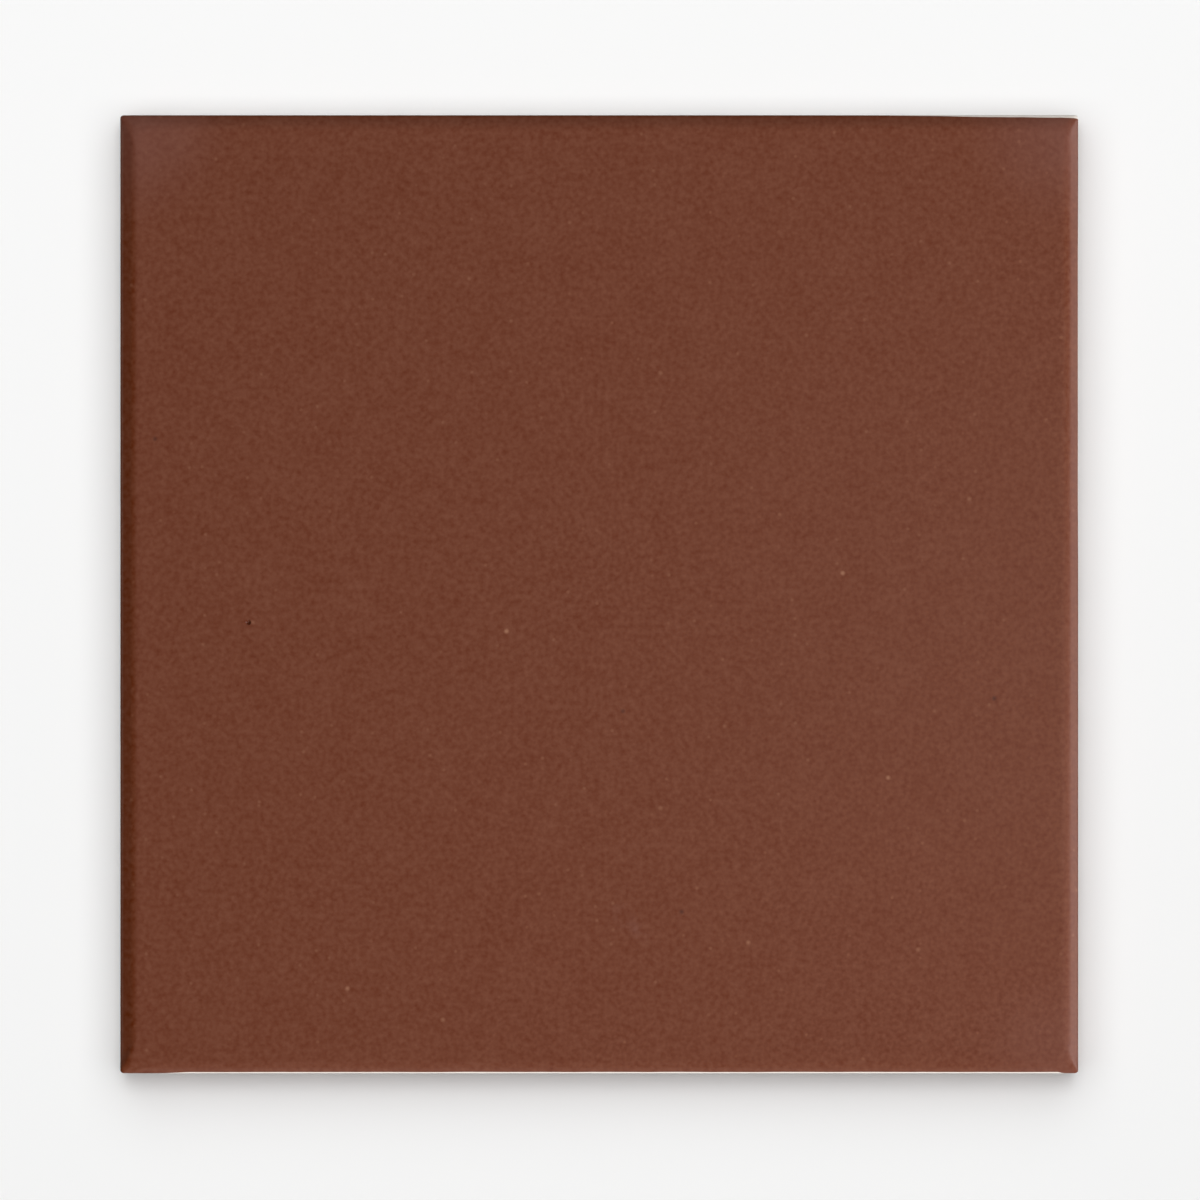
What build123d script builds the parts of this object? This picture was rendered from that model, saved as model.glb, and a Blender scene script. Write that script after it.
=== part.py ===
"""Square terracotta-look tile: one dry-pressed ceramic piece with a cushion edge and a keyed back.

The origin is the middle of the back, on the bed plane that the ribs stand on. +Z points up out of the face.
All sizes are in millimetres and angles in degrees.
"""

import os

from build123d import *

# The tile as a whole
tile_side = 150.0  # across the square, from side to side
tile_thickness = 8.0  # from the bed plane up to the face

# The cushion edge, a narrow slope round the face with a soft bend above it and a tighter one below
edge_width = 2.0  # from the tile's side in to the middle of the upper bend
edge_fall = 1.0  # from the face down to the middle of the lower bend
knee_radius = 4.0  # the upper bend, from the face into the slope
arris_radius = 0.35  # the lower bend, from the slope into the side

# The other edges
corner_radius = 0.5  # the four upright corners, seen from above
back_bevel = 0.8  # the sides turn in to the back on this bevel
back_easing = 0.25  # both edges of the bevel are rounded

# The key pattern pressed into the back, a waffle of shallow cells that the adhesive grips
cells_per_side = 6
rib_width = 3.0  # between two cells, on the bed plane
border_width = 6.0  # from the tile's side to the outermost cells
key_depth = 0.8  # from the bed plane to the floor of a cell
key_draft = 30.0  # the cell walls lean by this much, so that the punch lets go
cell_radius = 1.5  # a cell's corners, on the bed plane

# Worked out from the sizes above
arris_height = tile_thickness - edge_fall
cells_span = tile_side - 2 * border_width
cell_side = (cells_span - (cells_per_side - 1) * rib_width) / cells_per_side
cell_pitch = cell_side + rib_width

# Each bend round the tile: the height of the edge that it rounds, and its radius
bends = (
    (tile_thickness, knee_radius),
    (arris_height, arris_radius),
    (back_bevel, back_easing),
    (0, back_easing),
)


def edges_at(height):
    """The edges that run level round the tile, on the level nearest to a height."""
    levels = tile.edges().group_by(Axis.Z)
    return min(levels, key=lambda level: abs(level[0].center().Z - height))


with BuildPart() as tile:
    # The pressed square. Its edges are shaped before its corners are eased, so that they meet in mitres.
    with BuildSketch():
        Rectangle(tile_side, tile_side)
    extrude(amount=tile_thickness)

    # The slope round the face and the bevel round the back, then the bends at their ends.
    face = tile.faces().sort_by(Axis.Z)[-1]
    chamfer(face.edges(), length=edge_width, length2=edge_fall, reference=face)
    chamfer(edges_at(0), length=back_bevel)
    for height, radius in bends:
        fillet(edges_at(height), radius=radius)

    # The plan outline eases the upright corners and trims the mitres above and below them.
    with BuildSketch():
        RectangleRounded(tile_side, tile_side, corner_radius)
    extrude(amount=tile_thickness, mode=Mode.INTERSECT)

    # The cells narrow towards their floors. The ribs between them all end on the bed plane.
    with BuildSketch():
        with GridLocations(cell_pitch, cell_pitch, cells_per_side, cells_per_side):
            RectangleRounded(cell_side, cell_side, cell_radius)
    extrude(amount=key_depth, taper=key_draft, mode=Mode.SUBTRACT)

tile.part.label = "tile"
os.makedirs("parts", exist_ok=True)
export_step(tile.part, "parts/tile.step")
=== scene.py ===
import itertools
import math

import bmesh
import bpy
import numpy as np
from bpy.props import FloatProperty, FloatVectorProperty, IntProperty, PointerProperty
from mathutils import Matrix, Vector, noise


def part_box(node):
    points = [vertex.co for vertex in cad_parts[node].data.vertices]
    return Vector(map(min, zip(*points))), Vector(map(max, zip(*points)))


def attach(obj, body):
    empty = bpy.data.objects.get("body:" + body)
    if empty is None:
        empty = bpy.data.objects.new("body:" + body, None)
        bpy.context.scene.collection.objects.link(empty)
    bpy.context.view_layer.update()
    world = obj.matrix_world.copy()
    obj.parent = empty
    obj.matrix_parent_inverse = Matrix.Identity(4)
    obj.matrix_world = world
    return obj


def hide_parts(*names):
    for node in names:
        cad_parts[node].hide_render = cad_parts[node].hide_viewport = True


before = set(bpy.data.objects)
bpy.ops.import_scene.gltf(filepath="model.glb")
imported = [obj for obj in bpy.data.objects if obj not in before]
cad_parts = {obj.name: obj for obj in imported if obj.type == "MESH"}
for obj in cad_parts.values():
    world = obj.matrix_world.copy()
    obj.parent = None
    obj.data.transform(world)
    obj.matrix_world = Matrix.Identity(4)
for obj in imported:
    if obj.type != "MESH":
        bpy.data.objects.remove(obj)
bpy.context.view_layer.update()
tile_low, tile_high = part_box("tile")

bl_info = {
    "name": "Terracotta-look tile",
    "version": (1, 0, 0),
    "blender": (4, 5, 0),
    "location": "3D View > Sidebar > Tile",
    "description": "Builds a square satin-glazed tile with a cushion edge and a keyed back, and its stage",
    "category": "Add Mesh",
}

MM = 0.001
QUARTER_TURN = math.pi / 2

# The photograph's frame, in its own pixels
PHOTO_PIXELS = 1200
TILE_PIXELS = 957.8
TILE_CENTRE_PIXELS = (599.2, 594.2)

# Marks on the face, in millimetres from its middle. Each speck, and the painted highlight on the pinhole's
# rim, has its strength
PINHOLE = (-54.9, -4.4)
PALE_SPECKS_AND_GLINT = (
    (-14.5, -5.8, 1.00),
    (38.1, 3.3, 0.90),
    (45.2, -28.7, 0.80),
    (-39.4, -61.7, 0.75),
    (23.3, -54.5, 0.60),
    (-24.5, -66.6, 0.50),
    (9.6, -33.5, 0.45),
    (57.9, 14.9, 0.45),
    (49.9, -55.6, 0.45),
    (9.6, 34.6, 0.40),
    # Not a speck: a painted highlight on the right rim of the pinhole
    (-54.2, -4.4, 0.35),
)
DARK_SPECKS = ((61.8, -16.3, 0.70), (12.9, -49.7, 0.60), (-69.5, 24.3, 0.55), (3.7, -18.3, 0.50))

# How much wider than the pinhole the painted shade round it is, and how sharply the grains that show are
# picked
PINHOLE_SHADE = 1.2
PICK_BLUR = 0.01

# A faint rub on the face: its middle, length and width in millimetres, and the clouds it shows in
SCUFF = (4.7, -51.5)
SCUFF_LENGTH = 10.0
SCUFF_WIDTH = 4.0
SCUFF_CLOUDS = (0.35, 0.75)

# Painted sheen near three corners, a painted reflection on the glaze: across, up and its strength, then where
# it starts and where it is full
PAINTED_SHEEN_CORNERS = ((-1, 1, 1.0), (1, 1, 1.0), (1, -1, 0.5))
PAINTED_SHEEN_REACH = (20 * MM, 2 * MM)
PAINTED_SHEEN_LEAST = 0.7
PAINTED_SHEEN_CLOUDS = 0.6

# How sharply the glaze ends on the sides
GLAZE_BLUR = 0.06 * MM

# The line along the arris where the glaze has drawn back: how high it reaches on the right,
# the top and the bottom, how far below the arris it starts, and how soft and uneven it is
BARE_REACHES = (0.24 * MM, 0.50 * MM, 0.39 * MM)
BARE_BELOW = 0.26 * MM
BARE_BLUR = 0.03 * MM
BARE_RAGGED = 0.2

# Where the line runs, in half sides from the middle: on the outermost part of the tile only. The right
# has the middle of its line and how far from there it ends and is full. The others have where it ends
# and where it is full
BARE_OUTERMOST = (0.99, 0.995)
BARE_RIGHT_MIDDLE = 0.45
BARE_RIGHT = (0.55, 0.25)
BARE_TOP = (0.2, 1.0)
BARE_BOTTOM_LEFT = (-0.97, -0.85)
BARE_BOTTOM_RIGHT = (0.985, 0.955)

# Softboxes over the floor: name, brightness, width, depth and how far the middle lies
# beyond the tile's, in metres
FLOOR_LIGHT_HEIGHT = 2.0
FLOOR_LIGHTS = (
    ("over_floor_narrow", 4.8, 0.70, 1.42, 0.32),
    ("over_floor_broad", 1.35, 4.02, 5.57, 1.83),
)

# Softboxes on the tile: name, width, height, the direction, elevation and distance that each shines
# from, in degrees and metres, and whether it lights the tile's colour and shows in its gloss
TILE_LIGHTS = (
    ("fill", 2.0, 2.0, -36, 49, 2.0, True, False),
    ("card", 0.8, 3.0, 0, 90, 0.8, True, True),
    ("sheen", 0.1, 0.5, -10, 50, 0.39, False, True),
    ("key", 0.5, 0.46, -3, 24, 0.9, False, True),
    ("front", 0.84, 0.42, -90, 23, 0.9, False, True),
)

# How fine the mesh is
SIDE_STEPS = 200
CORNER_STEPS = 6
CELL_SIDE_STEPS = 3
CELL_CORNER_STEPS = 5
BEND_STEPS = (2, 2, 5, 10)
SLOPE_STEPS = 5
SHARP_ANGLE = math.radians(40)

# Round the pinhole the face is made finer: how far out, in its radii, and by how many cuts.
# A normal that points up by at least this much belongs to the face
PINHOLE_CUTS = ((5.0, 3), (2.2, 3))
FACE_UP = 0.9

# How far from a corner the sizes of two cushion edges blend
CORNER_BLEND = 2.0 * MM

# The rounded edges of a key cell, in easings: how far in and how deep the mouth's points lie,
# and how far in and how far above the floor those at its foot lie
CELL_MOUTH = ((-0.5, 0.0), (0.15, 0.25), (1.0, 1.0))
CELL_FOOT = ((0.0, 1.0), (0.2, 0.25), (0.8, 0.0))

# Where the slow noise is cut for the cushion edge and for the broad and the fine waves of the glaze,
# then how high the fine waves are beside the broad ones and how many go to one of them
EDGE_SEED = 1.7
BROAD_SEED = 3.3
FINE_SEED = 8.1
FINE_SHARE = 0.3
FINE_PER_BROAD = 3

# The nearest that the camera sees, in metres
CAMERA_CLIP = 0.01


def length(name, description, default):
    """A size in metres."""
    return FloatProperty(name=name, description=description, default=default, unit="LENGTH", precision=5)


def lengths(name, description, millimetres):
    """A size along the left, the right, the top and the bottom side, given in millimetres."""
    default = [MM * value for value in millimetres]
    return FloatVectorProperty(
        name=name, description=description, default=default, size=4, unit="LENGTH", precision=5
    )


def share(name, description, default):
    """A number with no unit, usually from 0 to 1."""
    return FloatProperty(name=name, description=description, default=default, precision=3)


def angle(name, description, degrees):
    """An angle, given in degrees."""
    return FloatProperty(name=name, description=description, default=math.radians(degrees), subtype="ANGLE")


def colour(name, description, default):
    """A colour, as red, green and blue in linear light."""
    return FloatVectorProperty(
        name=name, description=description, default=default, size=3, subtype="COLOR", min=0.0, max=1.0
    )


class TileSizes(bpy.types.PropertyGroup):
    """The sizes of the tile."""

    side: length("Side", "Across the square", tile_high[0] - tile_low[0])
    thickness: length("Thickness", "From the bed plane up to the face", tile_high[2] - tile_low[2])
    edge_widths: lengths("Edge widths", "From each side in to the upper bend", (2.2, 1.75, 1.6, 1.25))
    edge_falls: lengths("Edge falls", "From the face down to the lower bend", (1.2, 1.0, 0.85, 0.7))
    knee_radii: lengths("Knee radii", "The upper bend of the cushion edge", (2.9, 4.0, 4.0, 3.6))
    arris_radius: length("Arris radius", "The lower bend of the cushion edge", 0.35 * MM)
    slope_bulge: length("Slope bulge", "How far the glaze rounds out the slope", 0.012 * MM)
    edge_wander: length("Edge wander", "How far the edge's width changes along a side", 0.07 * MM)
    edge_wave_length: length("Edge wave length", "From one wide place of the edge to the next", 26.0 * MM)
    corner_radius: length("Corner radius", "The upright corners, seen from above", 0.5 * MM)
    face_corner_radius: length("Face corner radius", "Where two cushion edges meet at the face", 1.4 * MM)
    back_bevel: length("Back bevel", "The sides turn in to the back on this bevel", 0.8 * MM)
    back_easing: length("Back easing", "Both edges of the back bevel are rounded", 0.25 * MM)
    glaze_wave: length("Glaze wave", "How far the glaze rises and falls over the face", 0.018 * MM)
    glaze_wave_length: length("Glaze wave length", "From one rise of the glaze to the next", 11.0 * MM)
    pinhole_radius: length("Pinhole radius", "A burst bubble in the glaze", 0.48 * MM)
    pinhole_depth: length("Pinhole depth", "How deep the burst bubble is", 0.3 * MM)
    cells_per_side: IntProperty(
        name="Key cells per side", description="Cells of the key pattern along one side", default=6, min=1
    )
    rib_width: length("Rib width", "Between two key cells, on the bed plane", 3.0 * MM)
    border_width: length("Border width", "From the tile's side to the outermost key cells", 6.0 * MM)
    key_depth: length("Key depth", "From the bed plane to the floor of a key cell", 0.8 * MM)
    key_draft: angle("Key draft", "How far the walls of the key cells lean", 30.0)
    cell_radius: length("Cell radius", "The corners of a key cell, on the bed plane", 1.5 * MM)
    cell_easing: length("Cell easing", "How far the edges of a key cell are rounded", 0.2 * MM)


class TileFinish(bpy.types.PropertyGroup):
    """The colours and textures of the tile."""

    glaze_deep: colour("Deep glaze", "Darkest tone of the red-brown glaze", (0.1130, 0.0174, 0.0))
    glaze_light: colour("Light glaze", "Lightest tone of the red-brown glaze", (0.1640, 0.0474, 0.0210))
    # A pale tint for the painted sheen near three corners, which stands in for a reflection, and for the
    # faint rub
    sheen_and_rub_tint: colour("Haze", "A thin bloom on the glaze, near three of the corners", (0.210, 0.090, 0.074))
    # This colour also paints the highlight on the pinhole's right rim
    grain_and_glint: colour("Grain", "Pale grains in the glaze", (0.300, 0.130, 0.072))
    # This colour also paints the shade in and round the pinhole
    speck: colour("Speck", "Dark specks in the glaze", (0.035, 0.006, 0.003))
    body: colour("Body", "Bare fired body on the sides and the back", (0.860, 0.800, 0.740))
    body_shade: colour("Body shade", "Darker clay in the bare body", (0.740, 0.660, 0.580))
    glaze_roughness: share("Glaze roughness", "Satin glaze on the face", 0.36)
    body_roughness: share("Body roughness", "Bare fired body", 0.85)
    speckle_size: length("Speckle size", "Fine speckle in the glaze", 0.78 * MM)
    speckle_depth: share("Speckle depth", "How strong the fine speckle is", 1.44)
    mottle_size: length("Mottle size", "Slow changes of the glaze's tone", 7.0 * MM)
    mottle_depth: share("Mottle depth", "How strong these changes are", 0.32)
    cloud_depth: share("Cloud depth", "How strong the changes between speckle and mottle are", 0.45)
    clay_size: length("Clay size", "Lighter and darker clay in the bare body", 1.6 * MM)
    grit_size: length("Grit size", "Fine roughness to the touch", 0.5 * MM)
    grain_spacing: length("Grain spacing", "From one pale grain to the next", 2.2 * MM)
    grain_size: length("Grain size", "Across a pale grain", 0.85 * MM)
    grain_share: share("Grain share", "The share of the grains that show", 0.30)
    grain_depth: share("Grain depth", "How strong the scattered grains are", 0.30)
    # The sheen near the corners is a painted reflection
    painted_sheen_depth: share("Bloom depth", "How strong the bloom near the corners is", 0.3)
    scuff_depth: share("Scuff depth", "How strong the faint rub is", 0.2)
    roughness_change: share("Roughness change", "How far the speckle changes the roughness", 0.12)
    grit_height: length("Grit height", "How high the fine roughness stands", 0.006 * MM)
    glaze_grit: share("Glaze grit", "The share of this height on the glaze", 0.6)
    body_grit: share("Body grit", "How much of this height the bare body adds to that", 8.0)
    speck_radius: length("Speck radius", "The larger pale and dark specks", 0.56 * MM)
    glaze_end: length("Glaze end", "How far above the bed plane the glaze ends on the sides", 0.8 * MM)
    glaze_end_wander: length("Glaze end wander", "How far this line rises and falls", 0.5 * MM)


class StageSettings(bpy.types.PropertyGroup):
    """The floor, the lights and the camera."""

    floor: colour("Floor", "Plain pale floor", (0.870, 0.870, 0.868))
    floor_side: length("Floor side", "Across the floor", 6.0)
    floor_light: share("Floor light", "How bright the softboxes over the floor are", 1.08)
    fill_light: share("Fill light", "How bright the large softbox on the tile's lower right is", 4.52)
    card_light: share("Card light", "How bright the card over the tile is, which its face mirrors", 0.40)
    sheen_light: share("Sheen light", "How bright the narrow softbox close on the tile's right is", 0.95)
    key_light: share("Key light", "How bright the softbox on the tile's right is", 3.0)
    front_light: share("Front light", "How bright the softbox below the tile's near side is", 1.0)
    sky_light: share("Sky light", "How bright the light from all round is", 0.03)
    background: share("Background", "How bright the camera sees the background", 0.92)
    lens: length("Lens", "Focal length of the camera", 250.0 * MM)


class Socket:
    """A shader socket that takes part in Python arithmetic. Each operation adds its own Math node."""

    def __init__(self, shader, output):
        self.shader = shader
        self.output = output

    def other(self, name):
        """Another output of the same node."""
        return Socket(self.shader, self.output.node.outputs[name])

    def maths(self, operation, first, second=0.0):
        return self.shader.node("ShaderNodeMath", {"operation": operation}, {0: first, 1: second})

    def __add__(self, other):
        return self.maths("ADD", self, other)

    def __sub__(self, other):
        return self.maths("SUBTRACT", self, other)

    def __rsub__(self, other):
        return self.maths("SUBTRACT", other, self)

    def __mul__(self, other):
        return self.maths("MULTIPLY", self, other)

    def __abs__(self):
        return self.maths("ABSOLUTE", self)

    __radd__ = __add__
    __rmul__ = __mul__


class Shader:
    """The nodes of one material or world."""

    def __init__(self, owner):
        owner.use_nodes = True
        self.tree = owner.node_tree
        self.tree.nodes.clear()

    def node(self, kind, settings, inputs, output=0):
        """Adds a node with its settings and its socket values or links, and returns one of its outputs."""
        made = self.tree.nodes.new(kind)
        for name, value in settings.items():
            setattr(made, name, value)
        for name, value in inputs.items():
            if isinstance(value, Socket):
                self.tree.links.new(value.output, made.inputs[name])
            else:
                made.inputs[name].default_value = value
        return Socket(self, made.outputs[output]) if made.outputs else made

    def mix(self, factor, first, second):
        """A colour between two colours."""
        settings = {"data_type": "RGBA", "clamp_factor": True}
        return self.node("ShaderNodeMix", settings, {0: factor, 6: first, 7: second}, output=2)

    def away(self, place, point):
        """How far a place is from a point."""
        settings = {"operation": "DISTANCE"}
        return self.node("ShaderNodeVectorMath", settings, {0: place, 1: point}, output="Value")

    def step(self, value, low, high):
        """0 below low, 1 above high, and smooth in between. It also falls if low is the larger."""
        return self.node(
            "ShaderNodeMapRange",
            {"interpolation_type": "SMOOTHSTEP"},
            {"Value": value, "From Min": low, "From Max": high},
        )

    def noise(self, place, size, detail=2.0, roughness=0.5):
        """Even noise about 0.5, with features of a given size in metres."""
        return self.node(
            "ShaderNodeTexNoise",
            {"noise_dimensions": "3D"},
            {"Vector": place, "Scale": 1.0 / size, "Detail": detail, "Roughness": roughness},
        )

    def grains(self, place, spacing, size, kept):
        """1 in the middle of scattered round grains, of which only a share is kept."""
        inputs = {"Vector": place, "Scale": 1.0 / spacing}
        distance = self.node("ShaderNodeTexVoronoi", {}, inputs, output="Distance")
        pick = self.node("ShaderNodeSeparateColor", {}, {0: distance.other("Color")})
        radius = size / spacing / 2
        return self.step(distance, radius, 0.0) * self.step(pick, 1 - kept, 1 - kept + PICK_BLUR)

    def spots(self, place, marks, height, radius):
        """Round spots at a height. Each mark gives its place in millimetres and its strength."""
        spots = 0.0
        for across, up, strength in marks:
            spots += self.step(self.away(place, (across * MM, up * MM, height)), radius, 0.0) * strength
        return spots


class Skin:
    """Points and faces, gathered before they become a mesh."""

    def __init__(self):
        self.points = []
        self.faces = []

    def add(self, points):
        """Adds points and returns their numbers."""
        first = len(self.points)
        self.points.extend(points.tolist())
        return np.arange(first, len(self.points))

    def band(self, lower, upper):
        """Joins two closed rings of as many points with faces. Points that the rings share make triangles."""
        after = np.roll(np.arange(len(lower)), -1)
        for corners in zip(lower, lower[after], upper[after], upper):
            self.faces.append(list(dict.fromkeys(int(corner) for corner in corners)))


class RingPattern:
    """How the points of a rounded square are spread along its four sides and round its four corners."""

    def __init__(self, side_steps, corner_steps):
        sides = [((1.0, 2 * step / side_steps - 1), 0.0) for step in range(side_steps)]
        corners = [((1.0, 1.0), step / corner_steps * QUARTER_TURN) for step in range(corner_steps)]
        core, arc = [], []
        for quarter in range(4):
            turn = quarter * QUARTER_TURN
            cos, sin = round(math.cos(turn)), round(math.sin(turn))
            for (x, y), bend in sides + corners:
                core.append((cos * x - sin * y, sin * x + cos * y))
                arc.append((math.cos(turn + bend), math.sin(turn + bend)))
        self.core = np.array(core)
        self.arc = np.array(arc)

    def ring(self, half, radius, height):
        """The points of a rounded square. Each size is one number or one for each point."""
        half, radius, height = (np.broadcast_to(size, len(self.core)) for size in (half, radius, height))
        flat = self.core * (half - radius)[:, None] + self.arc * radius[:, None]
        return np.column_stack([flat, height])


def wander(points, wave_length, seed):
    """Slow noise from -1 to 1 at each point, from its place."""
    cut = Vector((0, 0, seed))
    return np.array([noise.noise(Vector((x, y, 0.0)) / wave_length + cut) for x, y, _ in points])


def glaze_drop(points, sizes):
    """How far the glaze lies below the highest point of the face."""
    broad = wander(points, sizes.glaze_wave_length, BROAD_SEED)
    fine = wander(points, sizes.glaze_wave_length / FINE_PER_BROAD, FINE_SEED)
    most = 1 + FINE_SHARE
    return sizes.glaze_wave * (most - broad - FINE_SHARE * fine) / (2 * most)


def unit(vectors):
    """Rows of vectors, made 1 long."""
    return vectors / np.linalg.norm(vectors, axis=1, keepdims=True)


def bend(before, corner, after, radius, steps):
    """The points of an arc that rounds a corner. Each point has a row of inset and height per place."""
    radius = np.reshape(radius, (-1, 1))
    back, on = unit(before - corner), unit(after - corner)
    half = np.arccos((back * on).sum(axis=1, keepdims=True)) / 2
    centre = corner + unit(back + on) * radius / np.sin(half)
    start = corner + back * radius / np.tan(half) - centre
    end = corner + on * radius / np.tan(half) - centre
    turn = math.pi - 2 * half
    for part in np.linspace(0.0, 1.0, steps + 1):
        yield centre + (start * np.sin((1 - part) * turn) + end * np.sin(part * turn)) / np.sin(turn)


def bulge(start, end, depth):
    """The points between the ends of a slope that rounds out by a depth."""
    out = unit(end - start) @ np.array([[0.0, 1.0], [-1.0, 0.0]])
    return [
        start + (end - start) * part + out * depth * 4 * part * (1 - part)
        for part in np.linspace(0.0, 1.0, SLOPE_STEPS + 1)[1:-1]
    ]


def by_side(values, outline, half):
    """A value at each point of the outline, from one for each side. The values blend round the corners."""
    x, y, _ = outline.T
    near = np.array([np.clip(1 - (half - out) / CORNER_BLEND, 0.0, 1.0) for out in (-x, x, y, -y)])
    return (np.reshape(values, (-1, 1)) * near).sum(axis=0) / near.sum(axis=0)


def edge_reach(sizes):
    """How far in over the face the widest cushion edge reaches."""
    sides = zip(sizes.edge_widths, sizes.edge_falls, sizes.knee_radii)
    return max(width + radius * math.tan(math.atan2(fall, width) / 2) for width, fall, radius in sides)


def rim(skin, pattern, sizes):
    """The sides and the cushion edge. Returns the lowest ring, on the bed plane, and the highest."""
    half = sizes.side / 2
    outline = pattern.ring(half, sizes.corner_radius, 0.0)
    edge_width = by_side(sizes.edge_widths, outline, half)
    edge_width += sizes.edge_wander * wander(outline, sizes.edge_wave_length, EDGE_SEED)
    arris = sizes.thickness - by_side(sizes.edge_falls, outline, half)
    knee_radius = by_side(sizes.knee_radii, outline, half)
    top = sizes.thickness - glaze_drop(outline, sizes)
    level = np.zeros(len(outline))
    corners = [
        np.column_stack([level + inset, level + height])
        for inset, height in (
            (sizes.border_width, 0.0),
            (sizes.back_bevel, 0.0),
            (0.0, sizes.back_bevel),
            (0.0, arris),
            (edge_width, top),
            (half, top),
        )
    ]
    radii = (sizes.back_easing, sizes.back_easing, sizes.arris_radius, knee_radius)
    stops = []
    for index, (radius, steps) in enumerate(zip(radii, BEND_STEPS)):
        stops.append(list(bend(*corners[index : index + 3], radius, steps)))
    stops.insert(-1, bulge(stops[-2][-1], stops[-1][0], sizes.slope_bulge))
    numbers = []
    for spots in itertools.chain.from_iterable(stops):
        inset, height = spots.T
        softening = np.where(height > sizes.thickness / 2, inset / edge_width, 0.0)
        corner = sizes.corner_radius + (sizes.face_corner_radius - sizes.corner_radius) * softening
        numbers.append(skin.add(pattern.ring(half - inset, corner, height)))
    for lower, upper in zip(numbers, numbers[1:]):
        skin.band(lower, upper)
    return numbers[0], numbers[-1]


def face(skin, edge_ring, pattern, sizes):
    """The glazed face inside the cushion edge: a square grid that follows the waves of the glaze."""
    margin = 2 * sizes.edge_wander
    half = sizes.side / 2 - edge_reach(sizes) - margin - sizes.face_corner_radius / 2
    along = np.linspace(-half, half, SIDE_STEPS + 1)
    x, y = np.meshgrid(along, along)
    points = np.column_stack([x.ravel(), y.ravel(), np.zeros(x.size)])
    points[:, 2] = sizes.thickness - glaze_drop(points, sizes)
    numbers = skin.add(points).reshape(SIDE_STEPS + 1, SIDE_STEPS + 1)
    quads = np.stack([numbers[:-1, :-1], numbers[:-1, 1:], numbers[1:, 1:], numbers[1:, :-1]], axis=-1)
    skin.faces.extend(quads.reshape(-1, 4).tolist())
    columns, rows = ((np.round((pattern.core[:, axis] + 1) / 2 * SIDE_STEPS)).astype(int) for axis in (0, 1))
    skin.band(edge_ring, numbers[rows, columns])


def key_cells(skin, pattern, sizes):
    """The cells pressed into the back. Returns the rings of their mouths, on the bed plane."""
    span = sizes.side - 2 * sizes.border_width
    cell = (span - (sizes.cells_per_side - 1) * sizes.rib_width) / sizes.cells_per_side
    pitch = cell + sizes.rib_width
    lean = math.tan(sizes.key_draft)
    ease = sizes.cell_easing
    depth = sizes.key_depth
    (flare, _), *lip = CELL_MOUTH
    steps = [(ease * flare, 0.0)]
    steps += [(ease * inset * lean, ease * height) for inset, height in lip]
    for inset, rise in CELL_FOOT:
        height = depth - ease * rise
        steps.append((height * lean + ease * inset, height))
    places = (np.arange(sizes.cells_per_side) - (sizes.cells_per_side - 1) / 2) * pitch
    mouths = []
    for x in places:
        for y in places:
            rings = []
            for inset, height in steps:
                points = pattern.ring(cell / 2 - inset, sizes.cell_radius - inset, height)
                rings.append(skin.add(points + (x, y, 0.0)))
            for lower, upper in zip(rings, rings[1:]):
                skin.band(lower, upper)
            skin.faces.append([int(number) for number in rings[-1]])
            mouths.append(rings[0])
    return mouths


def bed(bm, rings):
    """Fills the bed plane between the tile's lowest ring and the mouths of the key cells."""
    bm.verts.ensure_lookup_table()
    edges = []
    for ring in rings:
        for one, other in zip(ring, np.roll(ring, -1)):
            edges.append(bm.edges.get((bm.verts[one], bm.verts[other])))
    bmesh.ops.triangle_fill(bm, use_beauty=True, edges=edges)


def pinhole(bm, place, radius, depth):
    """Sinks a small burst bubble into the glaze, after making the faces round it finer."""
    centre = Vector(place)
    for reach, cuts in PINHOLE_CUTS:
        upper = [f for f in bm.faces if f.normal.z > FACE_UP]
        near = [f for f in upper if (f.calc_center_median().xy - centre).length < reach * radius]
        edges = {edge for f in near for edge in f.edges}
        bmesh.ops.subdivide_edges(bm, edges=list(edges), cuts=cuts, use_grid_fill=True)
    for vert in bm.verts:
        away = (vert.co.xy - centre).length / radius
        if away < 1 and vert.normal.z > FACE_UP:
            vert.co.z -= depth * (1 - away**2) ** 2


def tile_mesh(sizes):
    """The tile's mesh."""
    pattern = RingPattern(SIDE_STEPS, CORNER_STEPS)
    skin = Skin()
    lowest, highest = rim(skin, pattern, sizes)
    face(skin, highest, pattern, sizes)
    mouths = key_cells(skin, RingPattern(CELL_SIDE_STEPS, CELL_CORNER_STEPS), sizes)
    mesh = bpy.data.meshes.new("terracotta_tile")
    mesh.from_pydata(skin.points, [], skin.faces)
    bm = bmesh.new()
    bm.from_mesh(mesh)
    bed(bm, [lowest, *mouths])
    bmesh.ops.recalc_face_normals(bm, faces=bm.faces)
    bm.normal_update()
    pinhole(bm, Vector(PINHOLE) * MM, sizes.pinhole_radius, sizes.pinhole_depth)
    bm.to_mesh(mesh)
    bm.free()
    mesh.shade_smooth()
    mesh.set_sharp_from_angle(angle=SHARP_ANGLE)
    return mesh


def painted_sheen(shader, place, cloud, sizes):
    """How much painted sheen lies on the glaze near three of the corners: a painted reflection."""
    half = sizes.side / 2
    amount = 0.0
    for across, up, strength in PAINTED_SHEEN_CORNERS:
        corner = (across * half, up * half, sizes.thickness)
        amount += shader.step(shader.away(place, corner), *PAINTED_SHEEN_REACH) * strength
    return amount * (PAINTED_SHEEN_LEAST + cloud * PAINTED_SHEEN_CLOUDS)


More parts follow.
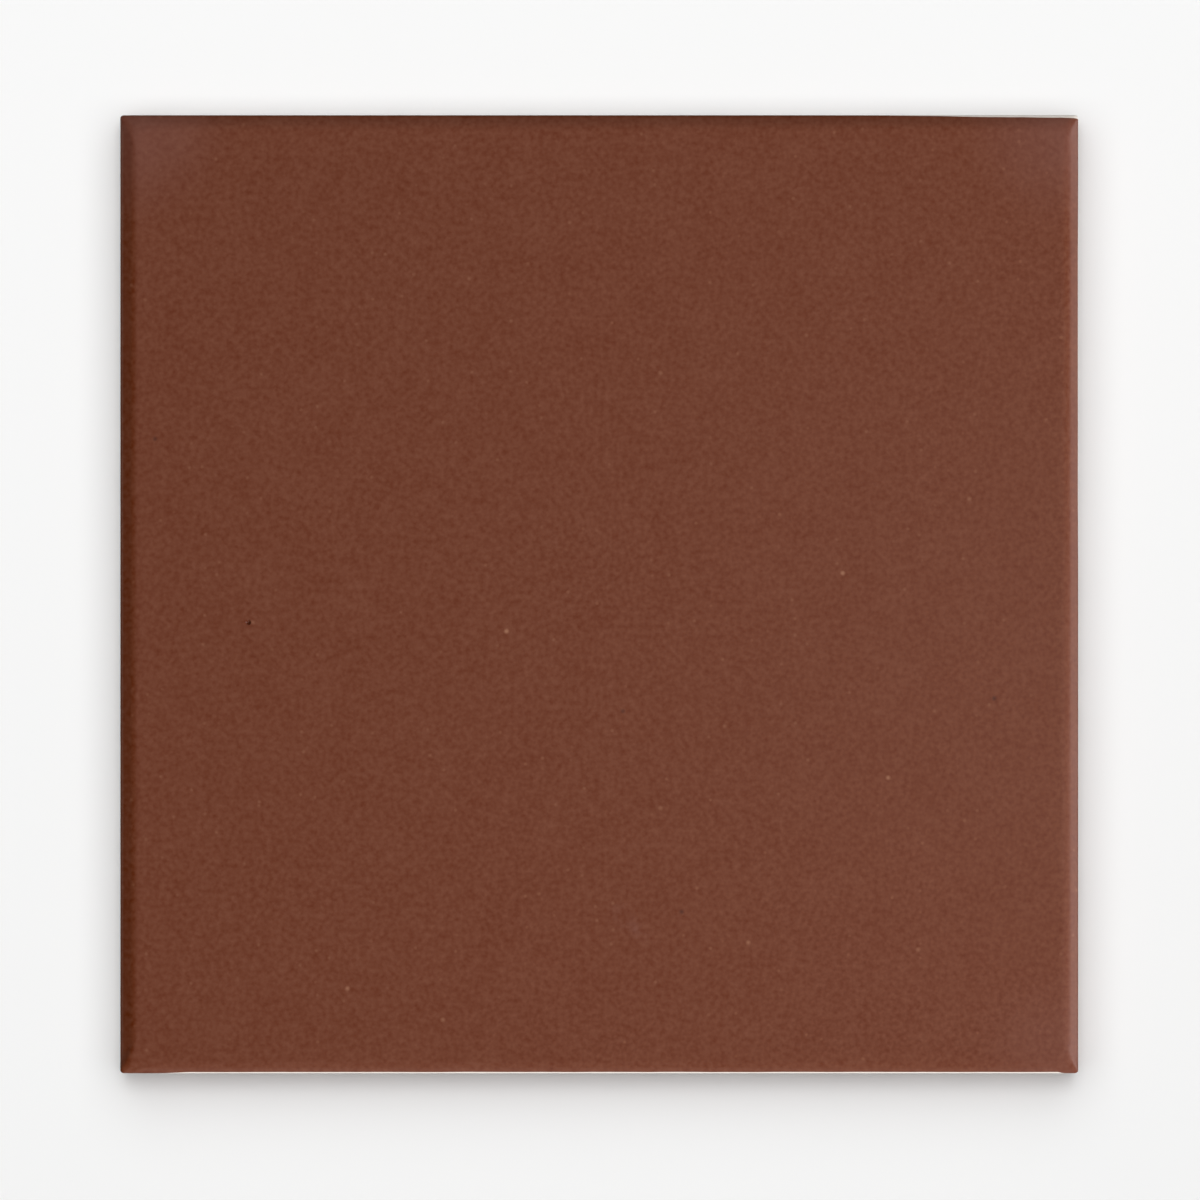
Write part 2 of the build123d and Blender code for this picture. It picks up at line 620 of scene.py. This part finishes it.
def scuff(shader, x, y, cloud):
    """How strong a faint rub on the face is, which runs down to the right."""
    right = x - SCUFF[0] * MM
    up = y - SCUFF[1] * MM
    along = (right - up) * math.sqrt(0.5)
    across = (right + up) * math.sqrt(0.5)
    core = shader.step(abs(along), SCUFF_LENGTH / 2 * MM, SCUFF_LENGTH / 8 * MM)
    core *= shader.step(abs(across), SCUFF_WIDTH / 2 * MM, 0.0)
    return core * shader.step(cloud, *SCUFF_CLOUDS)


def inside(shader, x, y, sizes):
    """1 well inside the tile's outline, where only the face is glazed and the back is bare."""
    low, high = sizes.side / 2 - sizes.back_bevel, sizes.side / 2 - 2 * sizes.back_bevel
    return shader.step(abs(x), low, high) * shader.step(abs(y), low, high)


def bare_line(shader, z, arris, reach):
    """1 from just below an arris up to a reach above that."""
    low = arris - BARE_BELOW
    return shader.step(z, low - BARE_BLUR, low) * shader.step(z - reach, low, low - BARE_BLUR)


def bare_arris(shader, x, y, z, ragged, sizes):
    """1 where the glaze has drawn back from the arris: at the bottom, the upper right and the top's end."""
    half = sizes.side / 2

    def within(value, span):
        """0 at the start of a span, given in half sides, and 1 at its end."""
        low, high = span
        return shader.step(value, low * half, high * half)

    right = within(x, BARE_OUTERMOST) * within(abs(y - BARE_RIGHT_MIDDLE * half), BARE_RIGHT)
    top = within(y, BARE_OUTERMOST) * within(x, BARE_TOP)
    bottom = within(-1.0 * y, BARE_OUTERMOST) * within(x, BARE_BOTTOM_LEFT)
    bottom *= within(x, BARE_BOTTOM_RIGHT)
    ragged = 1.0 + ragged * BARE_RAGGED
    bare = 0.0
    for part, reach, fall in zip((right, top, bottom), BARE_REACHES, sizes.edge_falls[1:]):
        bare += bare_line(shader, z, sizes.thickness - fall, part * ragged * reach)
    return bare


def glazed_terracotta(finish, sizes):
    """Satin glaze over a bare fired body, with the glaze ending in an uneven line low on the sides."""
    material = bpy.data.materials.new("glazed_terracotta")
    shader = Shader(material)
    place = shader.node("ShaderNodeTexCoord", {}, {}, output="Object")
    x = shader.node("ShaderNodeSeparateXYZ", {}, {0: place}, output="X")
    y, z = x.other("Y"), x.other("Z")

    speckle = shader.noise(place, finish.speckle_size, detail=1.0)
    mottle = shader.noise(place, finish.mottle_size, detail=2.0)
    clay = shader.noise(place, finish.clay_size, detail=2.0, roughness=0.65)
    grit = shader.noise(place, finish.grit_size, detail=1.0)

    tone = 0.5 + (speckle - 0.5) * finish.speckle_depth
    tone += (mottle - 0.5) * finish.mottle_depth + (clay - 0.5) * finish.cloud_depth
    glaze = shader.mix(tone, (*finish.glaze_deep, 1.0), (*finish.glaze_light, 1.0))
    # Painted sheen near three corners, a painted reflection, and the real faint rub, in one pale tint
    sheen_and_rub = painted_sheen(shader, place, mottle, sizes) * finish.painted_sheen_depth
    sheen_and_rub += scuff(shader, x, y, clay) * finish.scuff_depth
    glaze = shader.mix(sheen_and_rub, glaze, (*finish.sheen_and_rub_tint, 1.0))
    grain_and_glint = shader.grains(place, finish.grain_spacing, finish.grain_size, finish.grain_share)
    grain_and_glint *= finish.grain_depth
    # The pale specks, and a painted highlight on the pinhole's right rim
    grain_and_glint += shader.spots(place, PALE_SPECKS_AND_GLINT, sizes.thickness, finish.speck_radius)
    glaze = shader.mix(grain_and_glint, glaze, (*finish.grain_and_glint, 1.0))
    # Dark specks, and painted shade in and round the pinhole
    dark = shader.spots(place, DARK_SPECKS, sizes.thickness, finish.speck_radius)
    shaded = sizes.pinhole_radius * PINHOLE_SHADE
    dark += shader.spots(place, [(*PINHOLE, 1.0)], sizes.thickness, shaded)
    glaze = shader.mix(dark, glaze, (*finish.speck, 1.0))

    ragged = mottle - 0.5
    end = finish.glaze_end + ragged * finish.glaze_end_wander
    end += inside(shader, x, y, sizes) * (sizes.thickness / 2)
    above = shader.step(z - end, -GLAZE_BLUR, GLAZE_BLUR)
    glazed = above * (1.0 - bare_arris(shader, x, y, z, ragged, sizes))
    body = shader.mix(clay, (*finish.body_shade, 1.0), (*finish.body, 1.0))

    roughness = finish.glaze_roughness + (speckle - 0.5) * finish.roughness_change
    roughness = finish.body_roughness + glazed * (roughness - finish.body_roughness)
    relief = grit * (finish.glaze_grit + (1.0 - above) * finish.body_grit)
    bump = {"Strength": 1.0, "Distance": finish.grit_height, "Height": relief}
    normal = shader.node("ShaderNodeBump", {}, bump)

    surface = shader.node(
        "ShaderNodeBsdfPrincipled",
        {},
        {
            "Base Color": shader.mix(glazed, body, glaze),
            "Roughness": roughness,
            "Normal": normal,
        },
    )
    shader.node("ShaderNodeOutputMaterial", {}, {"Surface": surface})
    return material


class TILE_OT_build(bpy.types.Operator):
    """Builds the glazed tile in place of the plain solid"""

    bl_idname = "terracotta_tile.build"
    bl_label = "Build the tile"
    bl_options = {"REGISTER", "UNDO"}

    def execute(self, context):
        sizes = context.scene.tile_sizes
        tile = bpy.data.objects.new("terracotta_tile", tile_mesh(sizes))
        context.scene.collection.objects.link(tile)
        tile.data.materials.append(glazed_terracotta(context.scene.tile_finish, sizes))
        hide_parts("tile")
        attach(tile, "root")
        return {"FINISHED"}


def pale_floor(settings):
    """A plain matt floor under the tile."""
    half = settings.floor_side / 2
    mesh = bpy.data.meshes.new("floor")
    corners = [(-half, -half, 0.0), (half, -half, 0.0), (half, half, 0.0), (-half, half, 0.0)]
    mesh.from_pydata(corners, [], [(0, 1, 2, 3)])
    material = bpy.data.materials.new("pale_floor")
    shader = Shader(material)
    surface = shader.node("ShaderNodeBsdfDiffuse", {}, {"Color": (*settings.floor, 1.0)})
    shader.node("ShaderNodeOutputMaterial", {}, {"Surface": surface})
    mesh.materials.append(material)
    floor = bpy.data.objects.new("floor", mesh)
    floor.visible_glossy = False
    return floor


def softbox(name, brightness, width, depth):
    """A lamp with an evenly bright rectangle."""
    light = bpy.data.lights.new(name, "AREA")
    light.shape = "RECTANGLE"
    light.size = width
    light.size_y = depth
    light.energy = brightness * math.pi * width * depth
    lamp = bpy.data.objects.new(name, light)
    lamp.visible_camera = False
    return lamp


def aim(lamp, azimuth, elevation, distance):
    """Turns a lamp to the tile from a compass direction and a height above the floor, in degrees."""
    turn, lift = math.radians(azimuth), math.radians(elevation)
    away = Vector((math.cos(turn) * math.cos(lift), math.sin(turn) * math.cos(lift), math.sin(lift)))
    lamp.location = away * distance
    lamp.rotation_euler = away.to_track_quat("Z", "Y").to_euler()


def shine_on(lamp, receiver):
    """Lets a lamp light one object only."""
    group = bpy.data.collections.new(f"lit_by_{lamp.name}")
    group.objects.link(receiver)
    lamp.light_linking.receiver_collection = group


def sky(world, settings):
    """Dim grey light from all round, which the camera sees as a pale background."""
    shader = Shader(world)
    white = (1.0, 1.0, 1.0, 1.0)
    dim = shader.node("ShaderNodeBackground", {}, {"Strength": settings.sky_light, "Color": white})
    pale = shader.node("ShaderNodeBackground", {}, {"Strength": settings.background, "Color": white})
    seen = shader.node("ShaderNodeLightPath", {}, {}, output="Is Camera Ray")
    surface = shader.node("ShaderNodeMixShader", {}, {0: seen, 1: dim, 2: pale})
    shader.node("ShaderNodeOutputWorld", {}, {"Surface": surface})


class TILE_OT_stage(bpy.types.Operator):
    """Sets up the floor, the lights and the camera"""

    bl_idname = "terracotta_tile.stage"
    bl_label = "Set the stage"
    bl_options = {"REGISTER", "UNDO"}

    def execute(self, context):
        scene = context.scene
        settings, sizes = scene.tile_stage, scene.tile_sizes
        link = scene.collection.objects.link
        tile = bpy.data.objects["terracotta_tile"]

        floor = pale_floor(settings)
        link(floor)

        for name, brightness, width, depth, forward in FLOOR_LIGHTS:
            lamp = softbox(name, brightness * settings.floor_light, width, depth)
            lamp.location = (0.0, forward, FLOOR_LIGHT_HEIGHT)
            link(lamp)
            shine_on(lamp, floor)

        for name, width, height, azimuth, elevation, distance, colours, glosses in TILE_LIGHTS:
            lamp = softbox(name, getattr(settings, f"{name}_light"), width, height)
            aim(lamp, azimuth, elevation, distance)
            lamp.visible_diffuse = colours
            lamp.visible_glossy = glosses
            link(lamp)
            shine_on(lamp, tile)

        world = bpy.data.worlds.new("studio")
        scene.world = world
        sky(world, settings)

        camera = bpy.data.cameras.new("camera")
        camera.lens = settings.lens / MM
        camera.clip_start = CAMERA_CLIP
        pixels_per_metre = TILE_PIXELS / sizes.side
        frame_side = PHOTO_PIXELS / pixels_per_metre
        stand_off = frame_side * camera.lens / camera.sensor_width
        eye = bpy.data.objects.new("camera", camera)
        eye.location = (
            (PHOTO_PIXELS / 2 - TILE_CENTRE_PIXELS[0]) / pixels_per_metre,
            (TILE_CENTRE_PIXELS[1] - PHOTO_PIXELS / 2) / pixels_per_metre,
            sizes.thickness - max(sizes.edge_falls) + stand_off,
        )
        link(eye)
        scene.camera = eye
        scene.view_settings.view_transform = "Standard"
        return {"FINISHED"}


class TILE_PT_panel(bpy.types.Panel):
    """Lists what builds the tile and its stage"""

    bl_idname = "TILE_PT_panel"
    bl_label = "Terracotta-look tile"
    bl_space_type = "VIEW_3D"
    bl_region_type = "UI"
    bl_category = "Tile"

    def draw(self, context):
        for operator in (TILE_OT_build, TILE_OT_stage):
            self.layout.operator(operator.bl_idname)
        for group in (context.scene.tile_sizes, context.scene.tile_finish, context.scene.tile_stage):
            box = self.layout.box()
            for name in group.__annotations__:
                box.prop(group, name)


CLASSES = (TileSizes, TileFinish, StageSettings, TILE_OT_build, TILE_OT_stage, TILE_PT_panel)


def register():
    for cls in CLASSES:
        bpy.utils.register_class(cls)
    bpy.types.Scene.tile_sizes = PointerProperty(type=TileSizes)
    bpy.types.Scene.tile_finish = PointerProperty(type=TileFinish)
    bpy.types.Scene.tile_stage = PointerProperty(type=StageSettings)


def unregister():
    del bpy.types.Scene.tile_sizes
    del bpy.types.Scene.tile_finish
    del bpy.types.Scene.tile_stage
    for cls in reversed(CLASSES):
        bpy.utils.unregister_class(cls)


def main():
    register()
    bpy.ops.terracotta_tile.build()
    bpy.ops.terracotta_tile.stage()


if __name__ == "__main__":
    main()
